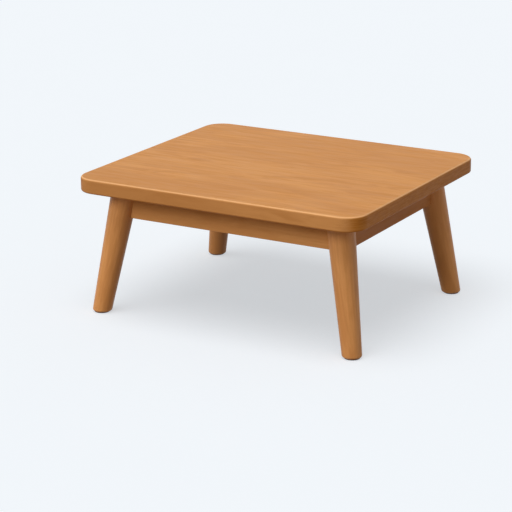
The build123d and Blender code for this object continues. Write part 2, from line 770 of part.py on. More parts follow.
def make_holder(sx, sy):
    """Ceramic block with an arched lower end and a socket for the tube."""
    half_width = tube_diameter / 2 + holder_wall
    end_plane = Plane(
        origin=(sx * (holder_spread - holder_length / 2), sy * tube_offset, tube_height), z_dir=(sx, 0, 0)
    )
    with BuildPart() as holder:
        with BuildSketch(end_plane):
            Circle(half_width)
        extrude(amount=holder_length)
        with BuildSketch(Plane.XY.offset(tube_height)):
            with Locations((sx * holder_spread, sy * tube_offset)):
                Rectangle(holder_length, 2 * half_width)
        extrude(amount=tube_drop)
        with BuildSketch(end_plane):
            Circle(tube_diameter / 2 + holder_fit)
        extrude(amount=tube_socket + holder_fit, mode=Mode.SUBTRACT)
        with BuildSketch(Plane.XY.offset(crown_under)):
            with Locations((sx * holder_spread, sy * tube_offset)):
                Circle(small_screw_diameter / 2 + hole_clearance)
        extrude(amount=-(holder_screw_length - reflector_sheet + hole_clearance), mode=Mode.SUBTRACT)
    return holder


# ---------------------------------------------------------------- fan
def make_bridge():
    """Strip across the fan opening that carries the motor."""
    ear_half = motor_ear_span / 2
    with BuildPart() as bridge:
        with BuildSketch(Plane.XY.offset(crown_top)):
            SlotOverall(2 * bridge_half, bridge_width)
            Circle(boss_diameter / 2 + hole_clearance, mode=Mode.SUBTRACT)
            with Locations((-bridge_screw_x, 0), (bridge_screw_x, 0), (-ear_half, 0), (ear_half, 0)):
                Circle(small_screw_diameter / 2 + hole_clearance, mode=Mode.SUBTRACT)
        extrude(amount=bridge_sheet)
    return bridge


def make_motor():
    """Motor can with two ears, and a bearing boss that stands in the bridge."""
    with BuildPart() as motor:
        with BuildSketch(Plane.XY.offset(bridge_top)):
            Circle(motor_diameter / 2)
        extrude(amount=motor_height)
        fillet(motor.edges().group_by(Axis.Z)[-1], motor_round)
        with BuildSketch(Plane.XY.offset(bridge_top)):
            SlotCenterToCenter(motor_ear_span, motor_ear_width)
        extrude(amount=motor_ear_sheet)
        with BuildSketch(Plane.XY.offset(bridge_top)):
            with Locations((-motor_ear_span / 2, 0), (motor_ear_span / 2, 0)):
                Circle(small_screw_diameter / 2 + hole_clearance)
        extrude(amount=motor_ear_sheet, mode=Mode.SUBTRACT)
        with BuildSketch(Plane.XY.offset(crown_top)):
            Circle(boss_diameter / 2)
        extrude(amount=bridge_sheet)
        with BuildSketch(Plane.XY.offset(crown_top)):
            Circle(shaft_diameter / 2 + shaft_running_fit)
        extrude(amount=bridge_sheet + shaft_depth_in_motor + shaft_running_fit, mode=Mode.SUBTRACT)
    return motor


def make_shaft():
    """Motor shaft, from its bearing in the motor down to the hub's lower face."""
    with BuildPart() as shaft:
        with BuildSketch(Plane.XY.offset(hub_bottom)):
            Circle(shaft_diameter / 2)
        extrude(amount=bridge_top + shaft_depth_in_motor - hub_bottom)
    return shaft


def blade_plane(radius, pitch, angle):
    """Plane across a blade at a radius, its x along the blade's chord and its normal outwards."""
    outward = (cos(radians(angle)), sin(radians(angle)), 0)
    level = cos(radians(pitch))
    chord = (-outward[1] * level, outward[0] * level, sin(radians(pitch)))
    return Plane(
        origin=(radius * outward[0], radius * outward[1], blade_middle), x_dir=chord, z_dir=outward
    )


def make_impeller():
    """Hub with twisted blades that are trimmed to a round outline."""
    root_radius = hub_diameter / 2 - blade_thickness
    with BuildPart() as impeller:
        with BuildSketch(Plane.XY.offset(hub_bottom)):
            Circle(hub_diameter / 2)
        extrude(amount=hub_height)
        fillet(impeller.edges().group_by(Axis.Z)[0], hub_round)
        for k in range(blade_count):
            angle = 360 / blade_count * k
            with BuildSketch(blade_plane(root_radius, blade_root_angle, angle)):
                Rectangle(blade_root_chord, blade_thickness)
            with BuildSketch(blade_plane(fan_radius, blade_tip_angle, angle)):
                Rectangle(blade_tip_chord, blade_thickness)
            loft()
        with BuildSketch(Plane.XY.offset(hub_bottom - hub_height / 2)):
            Circle(fan_radius - blade_thickness / 2)
        extrude(amount=2 * hub_height, mode=Mode.INTERSECT)
        with BuildSketch(Plane.XY.offset(hub_bottom)):
            Circle(shaft_diameter / 2 + hub_fit)
        extrude(amount=hub_height, mode=Mode.SUBTRACT)
    return impeller


# ---------------------------------------------------------------- wire guard
def make_guard_frame():
    """Pressed frame: a flange under the case's rim, a skirt and a lip that carries the wires."""
    flange_radius = case_corner_radius - guard_frame_inset
    skirt_size = 2 * guard_skirt_half
    skirt_inner = skirt_size - 2 * guard_frame_sheet
    inner_radius = guard_corner_radius - guard_frame_sheet
    with BuildPart() as frame:
        with BuildSketch(Plane.XY.offset(guard_frame_top)):
            square_ring(2 * guard_half, flange_radius, skirt_inner, inner_radius)
        extrude(amount=-guard_frame_sheet)
        with BuildSketch(Plane.XY.offset(guard_frame_top)):
            square_ring(skirt_size, guard_corner_radius, skirt_inner, inner_radius)
        extrude(amount=-guard_depth)
        with BuildSketch(Plane.XY.offset(guard_lip_top)):
            square_ring(skirt_size, guard_corner_radius, skirt_size - 2 * guard_lip, guard_lip_radius)
        extrude(amount=-guard_frame_sheet)
        with BuildSketch(Plane.XY.offset(guard_frame_top)):
            with Locations(*guard_screw_places):
                Circle(small_screw_diameter / 2 + hole_clearance)
        extrude(amount=-guard_frame_sheet, mode=Mode.SUBTRACT)
    return frame


def make_guard_wires():
    """Wires side by side from the left to the right, whose ends lie on the frame's lip."""
    start = (-guard_wire_half, 0, guard_wire_height)
    with BuildPart() as wires:
        with BuildSketch(Plane(origin=start, x_dir=(0, 1, 0), z_dir=(1, 0, 0))):
            with GridLocations(guard_wire_pitch, 1, guard_wire_count, 1):
                Circle(guard_wire_diameter / 2)
        extrude(amount=2 * guard_wire_half)
    return wires


def make_guard_cross_wires():
    """Wires from the front to the back that lie across the others."""
    start = (0, -guard_wire_half, guard_wire_height + guard_wire_diameter)
    with BuildPart() as wires:
        with BuildSketch(Plane(origin=start, x_dir=(1, 0, 0), z_dir=(0, 1, 0))):
            with GridLocations(guard_cross_pitch, 1, guard_cross_count, 1):
                Circle(guard_wire_diameter / 2)
        extrude(amount=2 * guard_wire_half)
    return wires


# ---------------------------------------------------------------- electrical parts
def make_thermostat():
    """Disc thermostat on the crown, with a stepped cap."""
    with BuildPart() as thermostat:
        with BuildSketch(Plane.XY.offset(crown_top)):
            with Locations((thermostat_x, parts_offset)):
                Circle(thermostat_diameter / 2)
        extrude(amount=thermostat_height)
        with BuildSketch(Plane.XY.offset(crown_top + thermostat_height)):
            with Locations((thermostat_x, parts_offset)):
                Circle(thermostat_cap_diameter / 2)
        extrude(amount=thermostat_cap_height)
    return thermostat


def make_fuse():
    """Thermal fuse in its ceramic sleeve, on the crown."""
    with BuildPart() as fuse:
        with BuildSketch(Plane.XY.offset(crown_top)):
            with Locations((fuse_x, -parts_offset)):
                Rectangle(fuse_length, fuse_width)
        extrude(amount=fuse_width)
        fillet(fuse.edges().filter_by(Axis.X).group_by(Axis.Z)[-1], fuse_round)
    return fuse


pole_pitch = (terminal_length - terminal_rib_width) / terminal_poles


def make_terminal_block():
    """Base with ribs between its poles."""
    with BuildPart() as block:
        with BuildSketch(Plane.XY.offset(crown_top)):
            with Locations((terminal_x, parts_offset)):
                Rectangle(terminal_length, terminal_width)
        extrude(amount=terminal_height)
        with BuildSketch(Plane.XY.offset(crown_top + terminal_height)):
            with Locations((terminal_x, parts_offset)):
                with GridLocations(pole_pitch, 1, terminal_poles + 1, 1):
                    Rectangle(terminal_rib_width, terminal_width)
        extrude(amount=terminal_rib)
    return block


# ---------------------------------------------------------------- cord inlet
pin_places = [(inlet_x + pin_pitch * k, inlet_middle) for k in (-1, 0, 1)]


def make_inlet():
    """Socket in the case's back wall: a body open to the back, with a flange inside the wall."""
    wall_inner = case_half - case_sheet
    cavity_width = inlet_width - 2 * inlet_wall
    cavity_height = inlet_height - 2 * inlet_wall
    with BuildPart() as inlet:
        with BuildSketch(Plane.XZ.offset(-inlet_back)):
            with Locations((inlet_x, inlet_middle)):
                Rectangle(inlet_width, inlet_height)
        extrude(amount=-(inlet_depth + case_sheet + inlet_proud))
        with BuildSketch(Plane.XZ.offset(-wall_inner)):
            with Locations((inlet_x, inlet_middle)):
                Rectangle(inlet_width + 2 * inlet_flange, inlet_height + 2 * inlet_flange)
        extrude(amount=inlet_flange_sheet)
        with BuildSketch(Plane.XZ.offset(-inlet_back - inlet_floor)):
            with Locations((inlet_x, inlet_middle)):
                Rectangle(cavity_width, cavity_height)
        extrude(amount=-(inlet_depth + case_sheet + inlet_proud), mode=Mode.SUBTRACT)
        with BuildSketch(Plane.XZ.offset(-inlet_back)):
            with Locations(*pin_places):
                Circle(pin_diameter / 2)
        extrude(amount=-inlet_floor, mode=Mode.SUBTRACT)
    return inlet


def make_inlet_pins():
    """Contact pins that go through the inlet's floor."""
    with BuildPart() as pins:
        with BuildSketch(Plane.XZ.offset(-inlet_back)):
            with Locations(*pin_places):
                Circle(pin_diameter / 2)
        extrude(amount=-pin_length)
        fillet(pins.edges().group_by(Axis.Y)[-1], pin_round)
    return pins


# ---------------------------------------------------------------- leads
lead_level = crown_top + lead_lift
lead_high = crown_top + lead_rise
block_back = parts_offset + terminal_width / 2
block_front = parts_offset - terminal_width / 2
block_right = terminal_x + terminal_length / 2


def inlet_lead_route(k):
    """From one of the inlet's pins over the dish's edge to its pole of the terminal block."""
    pin_x = inlet_x + pin_pitch * k
    pole_x = terminal_x + pole_pitch * k
    bend_y = inlet_back - lead_bend - lead_diameter
    return [
        (pin_x, inlet_back, inlet_middle),
        (pin_x, bend_y, inlet_middle),
        (pin_x, bend_y, lead_high),
        (pole_x, block_back + lead_run, lead_level),
        (pole_x, block_back, lead_level),
    ]


def arched_lead_route(start_x, end_x, y):
    """From one part on the crown to its neighbour along X, with some slack."""
    return [
        (start_x, y, lead_level),
        (start_x + lead_run, y, lead_level),
        ((start_x + end_x) / 2, y, lead_high),
        (end_x - lead_run, y, lead_level),
        (end_x, y, lead_level),
    ]


def tube_lead_route(start_x, side):
    """From the right side of a part on the crown to the right end of a tube."""
    return [
        (start_x, side * parts_offset, lead_level),
        (start_x + lead_run, side * parts_offset, lead_level),
        (tube_lead_x - 2 * lead_run, side * parts_offset, lead_high),
        (tube_lead_x, side * tube_offset, lead_high),
        (tube_lead_x, side * tube_offset, crown_under),
    ]


def link_route():
    """From the left end of one tube to that of the other."""
    height = crown_top + link_rise
    return [
        (-tube_lead_x, tube_offset, crown_under),
        (-tube_lead_x, tube_offset, height),
        (-tube_lead_x, -tube_offset, height),
        (-tube_lead_x, -tube_offset, crown_under),
    ]


def fuse_lead_route():
    """From the left end of the fuse past the motor to the terminal block."""
    return [
        (fuse_x - fuse_length / 2, -parts_offset, lead_level),
        (terminal_x, -parts_offset, lead_level),
        (terminal_x, block_front, lead_level),
    ]


def motor_lead_route():
    """From the motor's back to the terminal block."""
    height = bridge_top + motor_lead_lift
    pole_x = terminal_x + pole_pitch
    return [
        (0, motor_diameter / 2, height),
        (0, motor_diameter / 2 + lead_run, height),
        (pole_x, block_front - lead_run, lead_level),
        (pole_x, block_front, lead_level),
    ]


def make_leads():
    """Sleeved leads between the inlet, terminal block, thermostat, fuse, tubes and motor."""
    routes = [inlet_lead_route(k) for k in (-1, 0, 1)]
    routes.append(arched_lead_route(block_right, thermostat_x - thermostat_diameter / 2, parts_offset))
    routes.append(tube_lead_route(thermostat_x + thermostat_diameter / 2, 1))
    routes.append(tube_lead_route(fuse_x + fuse_length / 2, -1))
    routes.append(link_route())
    routes.append(fuse_lead_route())
    routes.append(motor_lead_route())
    with BuildPart() as leads:
        for points in routes:
            start = Vector(points[0])
            with BuildLine() as route:
                FilletPolyline(*points, radius=lead_bend)
            with BuildSketch(Plane(origin=start, z_dir=Vector(points[1]) - start)):
                Circle(lead_diameter / 2)
            sweep(path=route.wires()[0])
    return leads


# ---------------------------------------------------------------- all pieces, each in its own file
os.makedirs("parts", exist_ok=True)

keep(make_tabletop().part, "tabletop")
keep(make_pads().part, "tabletop_pads")

rail_joint_places = [side * place for side in (-1, 1) for place in rail_dowel_places]
front_plane = Plane(origin=(0, -inner_y, apron_bottom), x_dir=(-1, 0, 0), z_dir=(0, 0, 1))
back_plane = Plane(origin=(0, inner_y, apron_bottom), x_dir=(1, 0, 0), z_dir=(0, 0, 1))
left_plane = Plane(origin=(-inner_x, 0, apron_bottom), x_dir=(0, 1, 0), z_dir=(0, 0, 1))
right_plane = Plane(origin=(inner_x, 0, apron_bottom), x_dir=(0, -1, 0), z_dir=(0, 0, 1))
keep(make_apron(front_plane, front_apron_end, inner_x, rail_joint_places).part, "front_apron")
keep(make_apron(back_plane, front_apron_end, inner_x, rail_joint_places).part, "back_apron")
keep(make_apron(left_plane, side_apron_end, inner_y, []).part, "left_apron")
keep(make_apron(right_plane, side_apron_end, inner_y, []).part, "right_apron")

for corner, (sx, sy) in corners.items():
    keep(make_leg(sx, sy).part, f"leg_{corner}")
    keep(make_glide(sx, sy).part, f"foot_glide_{corner}")
    keep(make_bracket(sx, sy).part, f"corner_bracket_{corner}")
    keep(make_holder(sx, sy).part, f"tube_holder_{corner}")

keep(make_bolts().part, "hanger_bolts")
keep(make_washers().part, "bolt_washers")
keep(make_nuts().part, "bolt_nuts")
bracket_screw_planes = [plane for sx, sy in corners.values() for plane in flange_screw_planes(sx, sy)]
bracket_screws = make_fasteners(
    bracket_screw_planes, screw_diameter, screw_length, screw_head_diameter, screw_head_height
)
keep(bracket_screws.part, "bracket_screws")

keep(make_rail(-1).part, "heater_rail_left")
keep(make_rail(1).part, "heater_rail_right")
keep(make_cross_rail(-1).part, "cross_rail_front")
keep(make_cross_rail(1).part, "cross_rail_back")
keep(make_dowels().part, "rail_dowels")

keep(make_case().part, "heater_case")
keep(make_lugs().part, "mounting_lugs")
lug_screw_planes = [
    Plane(origin=(x, y, rail_bottom - lug_sheet), z_dir=(0, 0, -1)) for x, y in lug_screw_places
]
mounting_screws = make_fasteners(
    lug_screw_planes, screw_diameter, screw_length, screw_head_diameter, screw_head_height
)
keep(mounting_screws.part, "mounting_screws")

keep(make_reflector().part, "reflector")
for side, place in ((-1, "front"), (1, "back")):
    keep(make_tube(side).part, f"quartz_tube_{place}")
    keep(make_coil(side).part, f"heating_coil_{place}")
holder_screws = make_fasteners(
    [Plane(origin=(x, y, crown_top)) for x, y in holder_places],
    small_screw_diameter,
    holder_screw_length,
    small_screw_head_diameter,
    small_screw_head_height,
)
keep(holder_screws.part, "holder_screws")

keep(make_bridge().part, "motor_bridge")
keep(make_motor().part, "fan_motor")
motor_screw_planes = [
    Plane(origin=(side * motor_ear_span / 2, 0, bridge_top + motor_ear_sheet)) for side in (-1, 1)
]
motor_screws = make_fasteners(
    motor_screw_planes,
    small_screw_diameter,
    motor_ear_sheet + bridge_sheet,
    small_screw_head_diameter,
    small_screw_head_height,
)
keep(motor_screws.part, "motor_screws")
bridge_screws = make_fasteners(
    [Plane(origin=(side * bridge_screw_x, 0, bridge_top)) for side in (-1, 1)],
    small_screw_diameter,
    bridge_sheet + reflector_sheet,
    small_screw_head_diameter,
    small_screw_head_height,
)
keep(bridge_screws.part, "bridge_screws")
keep(make_shaft().part, "motor_shaft")
keep(make_impeller().part, "fan_impeller")

keep(make_guard_frame().part, "guard_frame")
keep(make_guard_wires().part, "guard_wires")
keep(make_guard_cross_wires().part, "guard_cross_wires")
guard_screws = make_fasteners(
    [Plane(origin=(x, y, guard_frame_bottom), z_dir=(0, 0, -1)) for x, y in guard_screw_places],
    small_screw_diameter,
    guard_screw_length,
    small_screw_head_diameter,
    small_screw_head_height,
)
keep(guard_screws.part, "guard_screws")

keep(make_thermostat().part, "thermostat")
keep(make_fuse().part, "thermal_fuse")
keep(make_terminal_block().part, "terminal_block")
keep(make_inlet().part, "inlet_housing")
keep(make_inlet_pins().part, "inlet_pins")
keep(make_leads().part, "heater_leads")
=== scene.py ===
import math

import bmesh
import bpy
from mathutils import Matrix, Vector


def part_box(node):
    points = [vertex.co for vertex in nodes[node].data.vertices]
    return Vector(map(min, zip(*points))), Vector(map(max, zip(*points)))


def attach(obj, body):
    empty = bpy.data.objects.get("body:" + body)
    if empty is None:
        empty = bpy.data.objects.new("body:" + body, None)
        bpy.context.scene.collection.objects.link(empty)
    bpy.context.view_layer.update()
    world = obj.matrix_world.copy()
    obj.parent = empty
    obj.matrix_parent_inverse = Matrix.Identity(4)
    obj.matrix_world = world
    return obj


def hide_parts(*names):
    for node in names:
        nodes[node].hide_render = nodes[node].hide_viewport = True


# Looks of a kotatsu table: wood, metal, glass and plastic finishes, the small parts that show
# turns, threads and slots, a studio and a camera. Lengths are in metres and colours are linear.

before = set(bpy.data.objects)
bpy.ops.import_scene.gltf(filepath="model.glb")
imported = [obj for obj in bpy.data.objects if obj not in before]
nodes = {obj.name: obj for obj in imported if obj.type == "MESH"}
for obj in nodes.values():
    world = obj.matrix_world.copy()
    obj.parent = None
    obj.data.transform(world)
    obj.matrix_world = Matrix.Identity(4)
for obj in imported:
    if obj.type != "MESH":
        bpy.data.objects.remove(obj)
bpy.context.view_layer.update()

CORNERS = {
    "front_left": (-1, -1),
    "front_right": (1, -1),
    "back_left": (-1, 1),
    "back_right": (1, 1),
}
X_AXIS = Vector((1, 0, 0))
Y_AXIS = Vector((0, 1, 0))
Z_AXIS = Vector((0, 0, 1))

# ---------------------------------------------------------------- colours
TOP_WOOD = (0.618, 0.277, 0.076)
FRAME_WOOD = (0.600, 0.270, 0.082)
LONG_APRON_TINT = (0.98, 1.04, 1.18)
SIDE_APRON_TINT = (0.74, 0.66, 0.58)
RAIL_WOOD = (0.620, 0.410, 0.215)
STREAK_TINT = (0.84, 0.77, 0.68)  # of a dark streak in the wood
PAINTED_EDGE_FACE_SHADE = (0.79, 0.81, 0.94)  # painted shade on the board's upright long edge faces
END_GRAIN_AND_UNDER_SHADE_TINT = (0.70, 0.60, 0.39)  # of the board's end grain; pushed further, the colour of the painted shade under its lower rounding
# painted light and shade: each leg's wood made lighter or darker for the light that falls on it
PAINTED_LEG_LIGHT_SHADE = {"front_left": 1.02, "front_right": 0.95, "back_left": 0.84, "back_right": 1.12}
# painted highlight along the board's upper rounded edge
PAINTED_EDGE_HIGHLIGHT = (0.90, 0.56, 0.30)
FLOOR_SEEN = (0.887, 0.926, 0.964)  # what the camera sees of the lit floor and the backdrop
FLOOR_MOTTLE = 0.998  # darkest spots of the floor, as a share of its colour
FLOOR_GLOW = 0.60  # share of the floor's colour that doesn't fade in the shadow
FLOOR_BOUNCE = (0.46, 0.35, 0.24)  # how the floor lights the table from below

# ---------------------------------------------------------------- grain and wear
# Layers of noise in wood: features per metre along the grain and across it both ways, then
# detail, roughness and distortion
BANDS = ((1.8, 6, 6), 3, 0.6, 0.8)
FIGURES = ((5, 26, 26), 3, 0.6, 0.8)
STREAKS = ((10, 80, 80), 3, 0.6, 0.4)
LINES = ((2.5, 170, 170), 2, 0.5, 0.2)
FIBRES = ((28, 900, 900), 3, 0.6, 0.0)
PORES = ((60, 1500, 1500), 1, 0.5, 0.0)
GROWTH_RINGS = ((4, 26, 430), 3, 0.5, 0.4)  # in the end grain of a board
NOISE_RANGE = (0.3, 0.7)  # where nearly all values of a noise lie
FIBRE_DEPTH = 0.00004
LEG_GLOSS = 0.32
PAINTED_HIGHLIGHT_SHARE = 0.45  # how far the board's upper rounded edge is lightened by its painted highlight
EDGE_RUBBED_SHARE = 0.5 * PAINTED_HIGHLIGHT_SHARE  # how far the edges of other wood are rubbed lighter by wear, at half that share
RUBBED_EDGE = 0.0012  # radius over which they are rubbed
WORN_EDGE = 0.0008  # radius over which metal and moulded parts are rubbed
FLAT_LEAN = 0.999  # cosine of a rounded normal's lean where a rubbed edge begins
WORN_LEAN = 0.86  # the same where it is rubbed most
SCRATCH_FINENESS = 9  # times as fine as the clouds on metal
MOULDED_DEPTH = 0.00003  # of the surface grain
MOULDED_MOTTLE = 0.08
FELT_DEPTH = 0.0003
QUARTZ_DEPTH = 0.000004

# ---------------------------------------------------------------- light
# Shares of the light that falls on a level face
SKY_SHARE = 0.25
OVERHEAD_SHARE = 0.50
FRONT_SHARE = 0.24  # this and the rim light fall on the table alone
RIM_SHARE = 0.017
LAMP_DISTANCE = 5  # where a lamp's object stands; its light comes from far away

# ---------------------------------------------------------------- camera, as fitted to the table
CAMERA_AZIMUTH = 29.764
CAMERA_ELEVATION = 17.143
CAMERA_ROLL = -0.219
CAMERA_DISTANCE = 4.988
CAMERA_TARGET = Vector((0, 0, 0.219))
CAMERA_RIGHT = -0.0600  # from the line of sight to the target, square to it
CAMERA_UP = -0.0909
CAMERA_LENS = 135.83  # mm
CAMERA_SENSOR = 36  # mm wide

# ---------------------------------------------------------------- floor
FLOOR_HALF = 30.0  # half its side
FLOOR_LEVEL = -0.0004  # a hair below the feet

# ---------------------------------------------------------------- fine parts
ROUND_STEPS = 32  # sides of a turned part
CREASE = math.radians(35)  # edges sharper than this stay sharp
NUT_STEPS = 96  # corners of a nut's outline
NUT_CHAMFER = math.radians(30)  # from the nut's face down to its corners
NUT_FACE = 0.95  # radius of that face, to the nut's half width
RECESS_TAPER = 0.45  # length of a cross recess at its bottom, to that at its top
COIL_RADIUS = 0.00325  # over the turns
COIL_WIRE_RADIUS = 0.00030
COIL_PITCH = 0.0017
COIL_STEPS = 16  # in one turn
COIL_WIRE_SIDES = 6
COIL_PLUG = 0.0060  # length of the plug at each end
SQUARE = [(-1, -1), (1, -1), (1, 1), (-1, 1)]
# Outline of a pan head from its seat to its middle, as shares of its radius and of its height
PAN_HEAD = [
    (0.94, 0), (1, 0.06), (1, 0.30), (0.97, 0.55), (0.88, 0.78), (0.72, 0.93), (0.48, 1), (0, 1),
]

# ---------------------------------------------------------------- reading sizes off the solids
WELD_DISTANCE = 1e-6  # corners nearer than this are one
SAME_HEIGHT = 1e-5  # corners nearer in height than this are level
WIDEST_SHARE = 0.97  # corners beyond this share of the radius are on the widest rim
POINTED_SHARE = 0.9  # an end narrower than this share of the radius is a point
HEAD_TO_FOOT = 1.5  # about how much wider a leg is at its head than its glide


def make_camera():
    azimuth = math.radians(CAMERA_AZIMUTH)
    elevation = math.radians(CAMERA_ELEVATION)
    roll = math.radians(CAMERA_ROLL)
    back = Vector(
        (
            math.sin(azimuth) * math.cos(elevation),
            -math.cos(azimuth) * math.cos(elevation),
            math.sin(elevation),
        )
    )
    level = Vector((math.cos(azimuth), math.sin(azimuth), 0))
    upright = back.cross(level)
    right = level * math.cos(roll) + upright * math.sin(roll)
    up = upright * math.cos(roll) - level * math.sin(roll)
    place = CAMERA_TARGET + back * CAMERA_DISTANCE + level * CAMERA_RIGHT + upright * CAMERA_UP
    turn = Matrix((right, up, back)).transposed().to_4x4()
    data = bpy.data.cameras.new("camera")
    data.lens = CAMERA_LENS
    data.sensor_width = CAMERA_SENSOR
    data.clip_start = 0.1
    data.clip_end = 100
    camera = bpy.data.objects.new("camera", data)
    camera.matrix_world = Matrix.Translation(place) @ turn
    bpy.context.scene.collection.objects.link(camera)
    bpy.context.scene.camera = camera


# ---------------------------------------------------------------- materials
# Numbers of a mix node's sockets for colours
MIX_FIRST = 6
MIX_SECOND = 7
MIX_RESULT = 2


class Finish:
    """A material under construction, with short calls for the nodes that it needs."""

    def __init__(self, name):
        self.material = bpy.data.materials.new(name)
        self.material.use_nodes = True
        self.tree = self.material.node_tree
        self.shader = self.tree.nodes["Principled BSDF"]

    def put(self, socket, value):
        """Set a socket to a number or colour, or link it to another node's output."""
        if isinstance(value, bpy.types.NodeSocket):
            self.tree.links.new(value, socket)
        elif isinstance(value, tuple) and len(value) == 3 and socket.type == "RGBA":
            socket.default_value = (*value, 1)
        else:
            socket.default_value = value

    def node(self, kind, sockets=(), **settings):
        """A new node, with its inputs set by name or number and its properties by name."""
        made = self.tree.nodes.new(kind)
        for key, value in settings.items():
            setattr(made, key, value)
        for key, value in dict(sockets).items():
            self.put(made.inputs[key], value)
        return made

    def place(self, grain=X_AXIS):
        """Position on the object, turned so that the grain's direction becomes X."""
        position = self.node("ShaderNodeTexCoord").outputs["Object"]
        if grain == X_AXIS:
            return position
        axis, angle = grain.rotation_difference(X_AXIS).to_axis_angle()
        sockets = {"Vector": position, "Axis": tuple(axis), "Angle": angle}
        return self.node("ShaderNodeVectorRotate", sockets, rotation_type="AXIS_ANGLE").outputs[0]

    def noise(self, position, scale, detail=2.0, roughness=0.5, distortion=0.0, offset=(0, 0, 0)):
        """Noise whose scale may differ along X, Y and Z; scale is in features per metre."""
        sockets = {0: position, 1: scale, 2: offset}
        stretched = self.node("ShaderNodeVectorMath", sockets, operation="MULTIPLY_ADD").outputs[0]
        sockets = {
            "Vector": stretched, "Scale": 1.0, "Detail": detail, "Roughness": roughness,
            "Distortion": distortion,
        }
        return self.node("ShaderNodeTexNoise", sockets).outputs["Fac"]

    def remap(self, value, low, high, to_low=0.0, to_high=1.0):
        """Value eased from one range into another, and held at its ends."""
        sockets = {
            "Value": value, "From Min": low, "From Max": high, "To Min": to_low, "To Max": to_high,
        }
        return self.node("ShaderNodeMapRange", sockets, interpolation_type="SMOOTHSTEP").outputs[0]

    def vary(self, noise, low=0.0, high=1.0):
        """Noise spread out from the range where most of it lies to two other values."""
        return self.remap(noise, *NOISE_RANGE, low, high)

    def mix(self, share, first, second, blend="MIX"):
        """The first colour, with a share of the second blended in."""
        made = self.node("ShaderNodeMix", data_type="RGBA", blend_type=blend)
        self.put(made.inputs[0], share)
        self.put(made.inputs[MIX_FIRST], first)
        self.put(made.inputs[MIX_SECOND], second)
        return made.outputs[MIX_RESULT]

    def math(self, operation, first, second=0.0):
        return self.node("ShaderNodeMath", {0: first, 1: second}, operation=operation).outputs[0]

    def bump(self, height, depth):
        """Relief of a depth in metres."""
        sockets = {"Height": height, "Distance": depth, "Strength": 1.0}
        return self.node("ShaderNodeBump", sockets).outputs[0]

    def edges(self, radius):
        """1 at worn edges and 0 on flat faces, from how far a rounded normal leans."""
        rounded = self.node("ShaderNodeBevel", {"Radius": radius}, samples=4).outputs[0]
        true_normal = self.node("ShaderNodeNewGeometry").outputs["Normal"]
        sockets = {0: rounded, 1: true_normal}
        lean = self.node("ShaderNodeVectorMath", sockets, operation="DOT_PRODUCT")
        return self.remap(lean.outputs["Value"], FLAT_LEAN, WORN_LEAN)

    def worn(self, shade, radius, share, bare):
        """Shade with a share of the bare colour at its edges."""
        return self.mix(self.math("MULTIPLY", self.edges(radius), share), shade, bare)

    def finish(self, **values):
        """Set the shader's sockets by their names, with _ for a space."""
        for key, value in values.items():
            self.put(self.shader.inputs[key.replace("_", " ")], value)
        return self.material


def scaled(colour, share):
    return tuple(c * share for c in colour)


def tinted(colour, tint, share=1.0):
    """A colour multiplied by a tint; share is how far towards the tint, or beyond it."""
    return tuple(c * (1 + share * (t - 1)) for c, t in zip(colour, tint))


def board_faces(made, shade, colour, position, offset):
    """Level board: painted shade on edge faces and underside, end grain, painted highlight on top
    edges.

    Which face a point is on follows from how far its normal faces along X and along Z.
    """
    normal = made.node("ShaderNodeTexCoord").outputs["Normal"]
    facing = made.node("ShaderNodeSeparateXYZ", {0: normal}).outputs
    rings = made.noise(position, *GROWTH_RINGS, offset)
    ring_one = tinted(colour, END_GRAIN_AND_UNDER_SHADE_TINT)
    ring_other = tinted(colour, END_GRAIN_AND_UNDER_SHADE_TINT, 1.3)
    ring_shade = made.mix(made.remap(rings, 0.4, 0.62), ring_one, ring_other)
    upright = made.remap(made.math("ABSOLUTE", facing["Z"]), 0.72, 0.30)
    at_end = made.remap(made.math("ABSOLUTE", facing["X"]), 0.38, 0.85)
    # painted shade darkens the board's upright edge faces
    shade = made.mix(upright, shade, made.mix(1.0, shade, PAINTED_EDGE_FACE_SHADE, blend="MULTIPLY"))
    shade = made.mix(made.math("MULTIPLY", upright, at_end), shade, ring_shade)
    # painted shade under the board's lower rounding, darker the more it faces down
    painted_under_shade = made.remap(facing["Z"], -0.15, -0.60, 0, 0.7)
    shade = made.mix(painted_under_shade, shade, tinted(colour, END_GRAIN_AND_UNDER_SHADE_TINT, 1.6))
    # painted highlight: a lighter band on the board's upper rounded edge, between its upright and level
    # parts
    rounding = made.remap(facing["Z"], 0.45, 0.75)
    level = made.remap(facing["Z"], 0.93, 0.995)
    rubbed = made.math("MULTIPLY", made.math("SUBTRACT", rounding, level), PAINTED_HIGHLIGHT_SHARE)
    return made.mix(rubbed, shade, PAINTED_EDGE_HIGHLIGHT)


